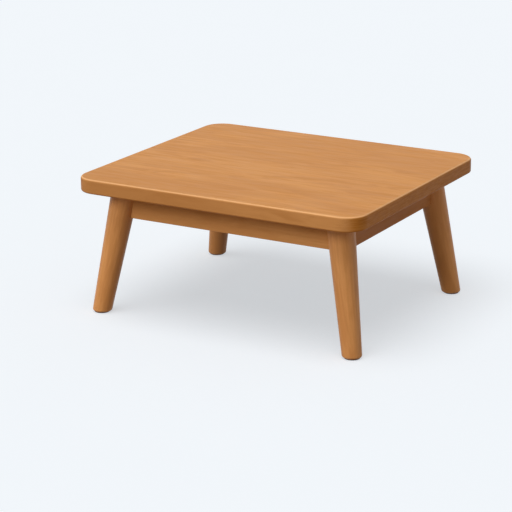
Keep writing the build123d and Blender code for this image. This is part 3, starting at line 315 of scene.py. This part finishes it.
def wood(name, colour, grain, offset=(0, 0, 0), roughness=0.48, figure=1.0, gloss=0.10, board=False):
    """Satin wood: broad bands, darker figures, streaks, fine lines, fibres and pores along the grain.

    figure is how strongly the dark layers show and gloss is the level of the reflections. A board
    has end grain of its own, painted shade on its edge faces and underside and a painted highlight
    along its upper edges; other pieces are rubbed lighter at their edges.
    """
    made = Finish(name)
    position = made.place(grain)
    layers = (BANDS, FIGURES, STREAKS, LINES, FIBRES, PORES)
    bands, figures, streaks, lines, fibres, pores = [
        made.noise(position, *layer, offset) for layer in layers
    ]
    dark = tinted(colour, STREAK_TINT)
    band_dark = tinted(colour, STREAK_TINT, 0.6)
    shade = made.mix(made.remap(bands, 0.36, 0.64), band_dark, scaled(colour, 1.04))
    for layer, low, high, share in (
        (figures, 0.48, 0.72, 0.95 * figure),
        (streaks, 0.52, 0.74, 0.45 * figure),
        (lines, 0.42, 0.66, 0.35 * figure),
        (fibres, *NOISE_RANGE, 0.25),
    ):
        shade = made.mix(made.remap(layer, low, high, 0, share), shade, dark)
    pore_dark = tinted(colour, STREAK_TINT, 2.0)
    shade = made.mix(made.remap(pores, 0.66, 0.76, 0, 0.35), shade, pore_dark)
    if board:
        shade = board_faces(made, shade, colour, position, offset)
    else:
        shade = made.worn(shade, RUBBED_EDGE, EDGE_RUBBED_SHARE, scaled(colour, 1.4))
    return made.finish(
        Base_Color=shade,
        Roughness=made.vary(streaks, roughness - 0.05, roughness + 0.07),
        Normal=made.bump(fibres, FIBRE_DEPTH),
        Specular_IOR_Level=gloss,
    )


def metal(
    name, colour, roughness, blotch=120.0, stretch=(1, 1, 1), depth=0.00002,
    metallic=1.0, wear=0.25, spread=1.0,
):
    """Plated, painted or bare metal with a cloudy surface, fine scratches and brighter edges.

    blotch is in clouds per metre and stretch multiplies it along X, Y and Z. depth is that of the
    scratches, wear is how much the edges are rubbed, and spread is how much the clouds stand out.
    """
    made = Finish(name)
    position = made.place()
    clouds = made.noise(position, scaled(stretch, blotch), detail=4, roughness=0.6)
    scratches = made.noise(position, scaled(stretch, SCRATCH_FINENESS * blotch), detail=2)
    cloud_dark = scaled(colour, 1 - 0.14 * spread)
    cloud_light = scaled(colour, 1 + 0.10 * spread)
    shade = made.mix(made.vary(clouds), cloud_dark, cloud_light)
    shade = made.worn(shade, WORN_EDGE, wear, scaled(colour, 1.5))
    return made.finish(
        Base_Color=shade,
        Metallic=metallic,
        Roughness=made.vary(clouds, roughness - 0.06 * spread, roughness + 0.08 * spread),
        Normal=made.bump(scratches, depth),
    )


def moulded(name, colour, roughness, grain=1400.0, wear=0.2):
    """Moulded plastic, rubber or ceramic: fine surface grain, faint mottling, rubbed edges.

    grain is in features per metre, and wear is how much the edges are rubbed.
    """
    made = Finish(name)
    position = made.place()
    mottling = made.noise(position, (90, 90, 90), detail=4, roughness=0.6)
    pebbles = made.noise(position, (grain, grain, grain), detail=2)
    mottle_dark = scaled(colour, 1 - MOULDED_MOTTLE)
    mottle_light = scaled(colour, 1 + MOULDED_MOTTLE)
    shade = made.mix(made.vary(mottling), mottle_dark, mottle_light)
    shade = made.worn(shade, WORN_EDGE, wear, scaled(colour, 1.6))
    return made.finish(
        Base_Color=shade,
        Roughness=made.vary(mottling, roughness - 0.05, roughness + 0.05),
        Normal=made.bump(pebbles, MOULDED_DEPTH),
    )


def felt(name, colour):
    """Felt: fuzz with lighter clumps."""
    made = Finish(name)
    position = made.place()
    fuzz = made.noise(position, (2600, 2600, 900), detail=4, roughness=0.8)
    clumps = made.noise(position, (300, 300, 300), detail=3)
    shade = made.mix(made.vary(fuzz), scaled(colour, 0.6), scaled(colour, 1.5))
    shade = made.mix(made.remap(clumps, 0.4, 0.7, 0, 0.3), shade, scaled(colour, 1.9))
    return made.finish(Base_Color=shade, Roughness=0.95, Normal=made.bump(fuzz, FELT_DEPTH))


def quartz(name):
    """Milky quartz tube, with faint streaks drawn along it."""
    made = Finish(name)
    position = made.place()
    haze = made.noise(position, (12, 260, 260), detail=3)
    shade = made.mix(made.vary(haze), (0.90, 0.88, 0.85), (0.98, 0.97, 0.96))
    return made.finish(
        Base_Color=shade,
        Roughness=made.vary(haze, 0.03, 0.12),
        Transmission_Weight=0.94,
        Normal=made.bump(haze, QUARTZ_DEPTH),
    )


# ---------------------------------------------------------------- studio
def viewed_ray(tree):
    """1 on rays of the camera, of a reflection and through glass, 0 on rays that only carry light."""
    path = tree.nodes.new("ShaderNodeLightPath")
    share = path.outputs["Is Camera Ray"]
    for name in ("Is Glossy Ray", "Is Transmission Ray"):
        either = tree.nodes.new("ShaderNodeMath")
        either.operation = "MAXIMUM"
        tree.links.new(share, either.inputs[0])
        tree.links.new(path.outputs[name], either.inputs[1])
        share = either.outputs[0]
    return share


def floor_material():
    """Pale, slightly glowing surface that keeps shadows, and is clear from below."""
    made = Finish("floor")
    mottle = made.vary(made.noise(made.place(), (3, 3, 3)))
    seen = made.mix(mottle, scaled(FLOOR_SEEN, FLOOR_MOTTLE), FLOOR_SEEN)
    lit_share = (1 - FLOOR_GLOW) / (SKY_SHARE + OVERHEAD_SHARE)
    sockets = {0: seen, "Scale": lit_share}
    lit = made.node("ShaderNodeVectorMath", sockets, operation="SCALE").outputs[0]
    viewed = viewed_ray(made.tree)
    sockets = {"Color": made.mix(viewed, FLOOR_BOUNCE, lit)}
    diffuse = made.node("ShaderNodeBsdfDiffuse", sockets).outputs[0]
    sockets = {"Color": seen, "Strength": made.math("MULTIPLY", viewed, FLOOR_GLOW)}
    glow = made.node("ShaderNodeEmission", sockets).outputs[0]
    shone = made.node("ShaderNodeAddShader", {0: diffuse, 1: glow}).outputs[0]
    clear = made.node("ShaderNodeBsdfTransparent").outputs[0]
    below = made.node("ShaderNodeNewGeometry").outputs["Backfacing"]
    surface = made.node("ShaderNodeMixShader", {0: below, 1: shone, 2: clear}).outputs[0]
    output = made.tree.nodes["Material Output"]
    made.tree.nodes.remove(made.shader)
    made.put(output.inputs["Surface"], surface)
    return made.material


def make_floor():
    """Level square under the feet."""
    corners = [(sx * FLOOR_HALF, sy * FLOOR_HALF, FLOOR_LEVEL) for sx, sy in SQUARE]
    mesh = bpy.data.meshes.new("floor")
    mesh.from_pydata(corners, [], [(0, 1, 2, 3)])
    mesh.materials.append(floor_material())
    floor = bpy.data.objects.new("floor", mesh)
    bpy.context.scene.collection.objects.link(floor)
    return floor


def distant_light(name, azimuth, elevation, width, level_share, passes_by=None):
    """Soft light from far away, so that it is even all over.

    azimuth is from the front (-Y) towards the left (-X), width is the angle that the light fills,
    level_share is what a level face gets from it, and passes_by is an object that gets none.
    """
    side = math.radians(azimuth)
    rise = math.radians(elevation)
    out = math.cos(rise)
    source = Vector((-math.sin(side) * out, -math.cos(side) * out, math.sin(rise)))
    data = bpy.data.lights.new(name, "SUN")
    data.energy = math.pi * level_share / math.sin(rise)
    data.angle = math.radians(width)
    lamp = bpy.data.objects.new(name, data)
    lamp.rotation_euler = source.to_track_quat("Z", "Y").to_euler()
    lamp.location = source * LAMP_DISTANCE
    bpy.context.scene.collection.objects.link(lamp)
    if passes_by is not None:
        unlit = bpy.data.collections.new(f"not_lit_by_{name}")
        unlit.objects.link(passes_by)
        unlit.collection_objects[0].light_linking.link_state = "EXCLUDE"
        lamp.light_linking.receiver_collection = unlit


def make_world():
    """Even pale surroundings: as bright as the floor to the camera, softer as a light."""
    world = bpy.data.worlds.new("studio")
    world.use_nodes = True
    tree = world.node_tree
    background = tree.nodes["Background"]
    shade = tree.nodes.new("ShaderNodeMix")
    shade.data_type = "RGBA"
    shade.inputs[MIX_FIRST].default_value = (SKY_SHARE, SKY_SHARE, SKY_SHARE, 1)
    shade.inputs[MIX_SECOND].default_value = (*FLOOR_SEEN, 1)
    tree.links.new(viewed_ray(tree), shade.inputs[0])
    tree.links.new(shade.outputs[MIX_RESULT], background.inputs["Color"])
    bpy.context.scene.world = world


def make_lights(floor):
    distant_light("overhead", azimuth=10, elevation=72, width=50, level_share=OVERHEAD_SHARE)
    distant_light("front", azimuth=24, elevation=28, width=22, level_share=FRONT_SHARE, passes_by=floor)
    distant_light("rim", azimuth=-110, elevation=12, width=30, level_share=RIM_SHARE, passes_by=floor)


# ---------------------------------------------------------------- fine parts that replace CAD nodes
def bridge(mesh, lower, upper, material=0):
    """Faces between two rings of corners; a ring of one corner closes an end."""
    steps = max(len(lower), len(upper))
    for k in range(steps):
        after = (k + 1) % steps
        corners = [lower[k % len(lower)], lower[after % len(lower)]]
        corners += [upper[after % len(upper)], upper[k % len(upper)]]
        distinct = list(dict.fromkeys(corners))
        mesh.faces.new(distinct).material_index = material


def lathe(mesh, profile, material=0):
    """Turn a profile of (radius, height) points round Z; a radius of 0 closes an end."""
    rings = []
    for radius, height in profile:
        count = ROUND_STEPS if radius > 0 else 1
        angles = [2 * math.pi * k / ROUND_STEPS for k in range(count)]
        corners = [(radius * math.cos(a), radius * math.sin(a), height) for a in angles]
        rings.append([mesh.verts.new(corner) for corner in corners])
    for lower, upper in zip(rings, rings[1:]):
        bridge(mesh, lower, upper, material)


def thread(low, high, radius, pitch, depth):
    """Profile points of a thread's ridges between two heights."""
    turns = max(1, round((high - low) / pitch))
    step = (high - low) / turns
    points = []
    for k in range(turns):
        points += [(radius - depth, low + k * step), (radius, low + (k + 0.5) * step)]
    return points


def ordinary(mesh, name):
    """Turn a bmesh into an ordinary mesh, with its faces looking outwards."""
    bmesh.ops.recalc_face_normals(mesh, faces=mesh.faces)
    made = bpy.data.meshes.new(name)
    mesh.to_mesh(made)
    mesh.free()
    return made


def add_copies(target, mesh, places):
    """Add a copy of a mesh to a bmesh at each place, and drop the mesh."""
    for place in places:
        copy = mesh.copy()
        copy.transform(place)
        target.from_mesh(copy)
        bpy.data.meshes.remove(copy)
    bpy.data.meshes.remove(mesh)


def wedge(half_length, half_width, top, bottom):
    """Cutter for one arm of a cross recess, narrower towards its bottom."""
    mesh = bmesh.new()
    rings = []
    for height, share in ((bottom, RECESS_TAPER), (top, 1.0)):
        x = half_length * share
        y = half_width * (0.6 + 0.4 * share)
        rings.append([mesh.verts.new((sx * x, sy * y, height)) for sx, sy in SQUARE])
    mesh.faces.new(rings[0])
    mesh.faces.new(rings[1])
    bridge(mesh, rings[0], rings[1])
    return ordinary(mesh, "wedge")


def carved(mesh, cutters):
    """The mesh with the cutters taken out of it."""
    collection = bpy.context.scene.collection
    body = bpy.data.objects.new("blank", mesh)
    collection.objects.link(body)
    tools = []
    for cutter in cutters:
        tool = bpy.data.objects.new("cutter", cutter)
        collection.objects.link(tool)
        tools.append(tool)
        cut = body.modifiers.new("cut", "BOOLEAN")
        cut.operation = "DIFFERENCE"
        cut.solver = "EXACT"
        cut.object = tool
    bpy.context.view_layer.update()
    evaluated = body.evaluated_get(bpy.context.evaluated_depsgraph_get())
    result = bpy.data.meshes.new_from_object(evaluated)
    for piece in [body, *tools]:
        bpy.data.objects.remove(piece)
    return result


def screw(head_radius, head_height, shank_radius, length):
    """Pan-headed cross-recessed screw, with the seat of its head on the plane of height 0."""
    tip = 0.9 * shank_radius
    pitch = 0.7 * shank_radius
    depth = 0.16 * shank_radius
    profile = [(0, -length), (0.55 * shank_radius, -length + 0.4 * tip)]
    profile += thread(-length + tip, -0.5 * shank_radius, shank_radius, pitch, depth)
    profile += [(shank_radius, 0)]
    profile += [(out * head_radius, up * head_height) for out, up in PAN_HEAD]
    mesh = bmesh.new()
    lathe(mesh, profile)
    arms = []
    for turn in (0, math.pi / 2):
        arm = wedge(0.62 * head_radius, 0.13 * head_radius, 1.3 * head_height, 0.25 * head_height)
        arm.transform(Matrix.Rotation(turn, 4, "Z"))
        arms.append(arm)
    return carved(ordinary(mesh, "screw_blank"), arms)


def hanger_bolt(radius, length):
    """Bolt that stands on height 0: a pointed wood thread below, a machine thread above it."""
    middle = 0.45 * length
    wood_pitch = 0.75 * radius
    machine_pitch = 0.3125 * radius  # 1.25 mm on an M8 bolt
    profile = [(0, 0), (0.45 * radius, 0.9 * radius), (0.8 * radius, 1.8 * radius)]
    profile += thread(2 * radius, middle - 1.5 * radius, radius, wood_pitch, 0.28 * radius)
    profile += [(radius, middle - radius), (radius, middle)]
    profile += thread(middle, length - 0.25 * radius, radius, machine_pitch, 0.12 * radius)
    profile += [(0.86 * radius, length), (0, length)]
    mesh = bmesh.new()
    lathe(mesh, profile)
    return ordinary(mesh, "hanger_bolt")


def hex_nut(across_flats, height, bore_radius):
    """Hexagon nut with chamfered corners on both faces, standing on the plane of height 0."""
    flat = across_flats / 2
    face_radius = NUT_FACE * flat
    mesh = bmesh.new()
    rings = [[] for _ in range(6)]
    for k in range(NUT_STEPS):
        angle = 2 * math.pi * k / NUT_STEPS
        within = (angle + math.pi / 6) % (math.pi / 3) - math.pi / 6
        reach = flat / math.cos(within)
        drop = (reach - face_radius) * math.tan(NUT_CHAMFER)
        outline = [
            (bore_radius, 0), (face_radius, 0), (reach, drop),
            (reach, height - drop), (face_radius, height), (bore_radius, height),
        ]
        for ring, (radius, level) in zip(rings, outline):
            corner = (radius * math.cos(angle), radius * math.sin(angle), level)
            ring.append(mesh.verts.new(corner))
    for inner, outer in zip(rings, rings[1:] + rings[:1]):
        bridge(mesh, inner, outer)
    return ordinary(mesh, "hex_nut")


def wind_wire(mesh, reach):
    """Add the turns of a heating wire round the X axis, as far as reach on both sides."""
    steps = round(2 * reach / COIL_PITCH) * COIL_STEPS
    before = None
    for k in range(steps + 1):
        angle = 2 * math.pi * k / COIL_STEPS
        along = -reach + 2 * reach * k / steps
        outward = Vector((0, math.cos(angle), math.sin(angle)))
        middle = X_AXIS * along + outward * (COIL_RADIUS - COIL_WIRE_RADIUS)
        section = []
        for j in range(COIL_WIRE_SIDES):
            turn = 2 * math.pi * j / COIL_WIRE_SIDES
            spoke = math.cos(turn) * outward + math.sin(turn) * X_AXIS
            section.append(mesh.verts.new(middle + COIL_WIRE_RADIUS * spoke))
        if before:
            bridge(mesh, before, section)
        before = section


def wound_coil(half_length, cap_radius):
    """Heating wire wound round the X axis, between two grooved ceramic plugs (material 1)."""
    mesh = bmesh.new()
    wind_wire(mesh, half_length - COIL_PLUG)
    groove = 0.12 * cap_radius
    profile = [
        (0, 0), (cap_radius - groove, 0), (cap_radius, groove), (cap_radius, 0.4 * COIL_PLUG),
        (cap_radius - groove, 0.5 * COIL_PLUG), (cap_radius, 0.6 * COIL_PLUG),
        (cap_radius, COIL_PLUG - groove), (cap_radius - groove, COIL_PLUG), (0, COIL_PLUG),
    ]
    plug = bmesh.new()
    lathe(plug, profile, material=1)
    places = []
    for end in (-1, 1):
        turned = Z_AXIS.rotation_difference(X_AXIS * -end).to_matrix().to_4x4()
        places.append(Matrix.Translation(X_AXIS * end * half_length) @ turned)
    add_copies(mesh, ordinary(plug, "plug"), places)
    return ordinary(mesh, "wound_coil")


def islands(node):
    """The vertex positions of each separate solid of a node."""
    mesh = bmesh.new()
    mesh.from_mesh(nodes[node].data)
    mesh.transform(nodes[node].matrix_world)
    bmesh.ops.remove_doubles(mesh, verts=mesh.verts, dist=WELD_DISTANCE)
    seen = set()
    found = []
    for start in mesh.verts:
        if start in seen:
            continue
        seen.add(start)
        waiting = [start]
        island = []
        while waiting:
            vertex = waiting.pop()
            island.append(vertex.co.copy())
            others = [edge.other_vert(vertex) for edge in vertex.link_edges]
            unseen = [other for other in others if other not in seen]
            seen.update(unseen)
            waiting.extend(unseen)
        found.append(island)
    mesh.free()
    return found


class Fastener:
    """Place and size of one screw, bolt or nut, read off the solid that it takes the place of.

    Heights are along its axis, from its middle, and its seat is the height of its widest rim.
    """

    def __init__(self, island):
        low_corner, high_corner = [Vector(map(pick, zip(*island))) for pick in (min, max)]
        self.middle = (low_corner + high_corner) / 2
        diagonals = [Vector((1, 1, 0)).normalized(), Vector((1, -1, 0)).normalized()]
        fits = []
        for axis in [X_AXIS, Y_AXIS, Z_AXIS, *diagonals]:
            heights = [(p - self.middle).dot(axis) for p in island]
            offsets = [((p - self.middle) - axis * h).length for p, h in zip(island, heights)]
            fits.append((max(offsets), axis, heights, offsets))
        # Round the axis of a turned part, the widest point is as near as it gets
        self.radius, self.axis, self.heights, self.offsets = min(fits, key=lambda fit: fit[0])
        self.low = min(self.heights)
        self.high = max(self.heights)
        rim = WIDEST_SHARE * self.radius
        widest = [h for h, r in zip(self.heights, self.offsets) if r > rim]
        self.seat = sum(widest) / len(widest)
        self.head_up = self.seat > (self.low + self.high) / 2

    def radius_at(self, height):
        """Largest radius of the solid's corners at a height."""
        return max(r for h, r in zip(self.heights, self.offsets) if abs(h - height) < SAME_HEIGHT)

    def matrix(self, height, flipped):
        """Puts a part made along Z on this axis, with its height 0 at the height given."""
        axis = -self.axis if flipped else self.axis
        turn = Z_AXIS.rotation_difference(axis).to_matrix().to_4x4()
        return Matrix.Translation(self.middle + self.axis * height) @ turn


def set_in_place(name, mesh, places, node, materials):
    """Copies of a mesh as one piece of the frame, in place of a CAD node."""
    joined = bmesh.new()
    add_copies(joined, mesh, places)
    made = bpy.data.meshes.new(name)
    joined.to_mesh(made)
    joined.free()
    made.shade_smooth()
    made.set_sharp_from_angle(angle=CREASE)
    for material in materials:
        made.materials.append(material)
    piece = bpy.data.objects.new(name, made)
    bpy.context.scene.collection.objects.link(piece)
    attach(piece, "frame")
    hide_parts(node)


def add_screws(node, material):
    """Screws with recesses and threads, in place of plain ones."""
    screws = [Fastener(island) for island in islands(node)]
    first = screws[0]
    head_height = first.high - first.seat if first.head_up else first.seat - first.low
    length = first.high - first.low - head_height
    shank_radius = first.radius_at(first.low if first.head_up else first.high)
    mesh = screw(first.radius, head_height, shank_radius, length)
    places = [each.matrix(each.seat, not each.head_up) for each in screws]
    set_in_place(f"{node}_cut", mesh, places, node, [material])


def add_bolts(node, material):
    """Hanger bolts with both threads, in place of plain ones."""
    bolts = [Fastener(island) for island in islands(node)]
    places = []
    for bolt in bolts:
        pointed_low = bolt.radius_at(bolt.low) < POINTED_SHARE * bolt.radius
        places.append(bolt.matrix(bolt.low if pointed_low else bolt.high, not pointed_low))
    mesh = hanger_bolt(bolts[0].radius, bolts[0].high - bolts[0].low)
    set_in_place(f"{node}_threaded", mesh, places, node, [material])


def add_nuts(node, material):
    """Nuts with chamfered corners, in place of plain ones."""
    nuts = [Fastener(island) for island in islands(node)]
    across_flats = 2 * nuts[0].radius * math.cos(math.pi / 6)
    mesh = hex_nut(across_flats, nuts[0].high - nuts[0].low, min(nuts[0].offsets))
    places = [nut.matrix(nut.low, False) for nut in nuts]
    set_in_place(f"{node}_chamfered", mesh, places, node, [material])


def add_coil(node, materials):
    """Turns of wire between two plugs, in place of a plain rod along X."""
    low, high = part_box(node)
    mesh = wound_coil((high.x - low.x) / 2, (high.z - low.z) / 2)
    place = Matrix.Translation((low + high) / 2)
    set_in_place(f"{node}_wound", mesh, [place], node, materials)


# ---------------------------------------------------------------- finishes of the CAD nodes
def assign(names, material):
    for name in names:
        mesh = nodes[name].data
        mesh.materials.clear()
        mesh.materials.append(material)


def leg_grain(corner):
    """Direction of a leg's axis, from its foot's middle to its head's middle."""
    low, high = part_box(f"leg_{corner}")
    foot_low, foot_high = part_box(f"foot_glide_{corner}")
    foot = (foot_low + foot_high) / 2
    head_radius = (foot_high.x - foot_low.x) / 2 * HEAD_TO_FOOT
    sx, sy = CORNERS[corner]
    inner_x = low.x if sx > 0 else high.x
    inner_y = low.y if sy > 0 else high.y
    head = Vector((inner_x + sx * head_radius, inner_y + sy * head_radius, high.z))
    return (head - Vector((foot.x, foot.y, low.z))).normalized()


def dress_board_and_aprons():
    assign(["tabletop"], wood("top_wood", TOP_WOOD, X_AXIS, board=True))
    long_colour = tinted(FRAME_WOOD, LONG_APRON_TINT)
    long_wood = wood("long_apron_wood", long_colour, X_AXIS, (3, 7, 1), roughness=0.50, figure=1.2)
    assign(["front_apron", "back_apron"], long_wood)
    side_colour = tinted(FRAME_WOOD, SIDE_APRON_TINT)
    side_wood = wood("side_apron_wood", side_colour, Y_AXIS, (11, 2, 5), roughness=0.50, figure=1.2)
    assign(["left_apron", "right_apron"], side_wood)


def dress_legs():
    """Legs, each with grain along its own axis, and their glides."""
    for k, corner in enumerate(CORNERS):
        # each leg's colour carries its painted light and shade
        leg_wood = wood(
            f"leg_wood_{corner}", scaled(FRAME_WOOD, PAINTED_LEG_LIGHT_SHADE[corner]), leg_grain(corner),
            (k * 13, k * 5, 2), roughness=0.42, figure=1.5, gloss=LEG_GLOSS,
        )
        assign([f"leg_{corner}"], leg_wood)
    glide_felt = felt("glide_felt", (0.085, 0.038, 0.018))
    assign([f"foot_glide_{corner}" for corner in CORNERS], glide_felt)


def dress_lattice():
    """Rails and dowels round the heater, and the pads under the board."""
    rail_wood = wood("rail_wood", RAIL_WOOD, Y_AXIS, (1, 9, 4), roughness=0.62)
    assign(["heater_rail_left", "heater_rail_right"], rail_wood)
    cross_wood = wood("cross_rail_wood", RAIL_WOOD, X_AXIS, (4, 4, 9), roughness=0.62)
    assign(["cross_rail_front", "cross_rail_back"], cross_wood)
    assign(["rail_dowels"], wood("dowel_wood", RAIL_WOOD, X_AXIS, (9, 4, 2), roughness=0.6))
    assign(["tabletop_pads"], moulded("pad_rubber", (0.030, 0.028, 0.027), roughness=0.85))


def dress_zinc_plated():
    """Brackets, bolts and screws of the table, and lugs, bridge and screws of the heater."""
    zinc = metal("zinc_plate", (0.60, 0.60, 0.57), roughness=0.34)
    assign([f"corner_bracket_{corner}" for corner in CORNERS], zinc)
    assign(["bolt_washers", "mounting_lugs", "motor_bridge"], zinc)
    for owner in ("bracket", "mounting", "holder", "motor", "bridge"):
        add_screws(f"{owner}_screws", zinc)
    add_bolts("hanger_bolts", zinc)
    add_nuts("bolt_nuts", zinc)


def dress_guard():
    black = metal(
        "guard_paint", (0.022, 0.021, 0.020), roughness=0.55, blotch=400, metallic=0.0,
        depth=0.00005, wear=0.4,
    )
    assign(["guard_frame", "guard_wires", "guard_cross_wires"], black)
    add_screws("guard_screws", black)


def dress_heater():
    assign(["heater_case"], metal("case_steel", (0.50, 0.50, 0.49), roughness=0.42, blotch=60))
    bright = metal(
        "bright_aluminium", (0.80, 0.80, 0.81), roughness=0.20, blotch=12, stretch=(1, 8, 8),
        depth=0.0000004, wear=0.1, spread=0.3,
    )
    assign(["reflector", "thermostat"], bright)
    assign(["quartz_tube_front", "quartz_tube_back"], quartz("quartz"))
    ceramic = moulded("ceramic", (0.74, 0.70, 0.61), roughness=0.7, grain=900)
    wire = metal("resistance_wire", (0.20, 0.18, 0.16), roughness=0.5, blotch=500)
    for side in ("front", "back"):
        add_coil(f"heating_coil_{side}", [wire, ceramic])
    assign([f"tube_holder_{corner}" for corner in CORNERS], ceramic)
    assign(["thermal_fuse", "terminal_block"], ceramic)


def dress_fan_and_wiring():
    assign(["fan_motor"], metal("motor_can", (0.46, 0.46, 0.46), roughness=0.38, blotch=150))
    assign(["motor_shaft"], metal("ground_steel", (0.62, 0.62, 0.62), roughness=0.22, blotch=200))
    assign(["fan_impeller"], moulded("fan_plastic", (0.030, 0.030, 0.032), roughness=0.48))
    sleeve = moulded("lead_sleeve", (0.62, 0.60, 0.54), roughness=0.62, grain=2200, wear=0.0)
    assign(["heater_leads"], sleeve)
    assign(["inlet_housing"], moulded("inlet_plastic", (0.020, 0.020, 0.020), roughness=0.34))
    assign(["inlet_pins"], metal("contact_brass", (0.78, 0.58, 0.28), roughness=0.25, blotch=300))


make_camera()
make_world()
make_lights(make_floor())
dress_board_and_aprons()
dress_legs()
dress_lattice()
dress_zinc_plated()
dress_guard()
dress_heater()
dress_fan_and_wiring()

scene = bpy.context.scene
scene.view_settings.view_transform = "Standard"
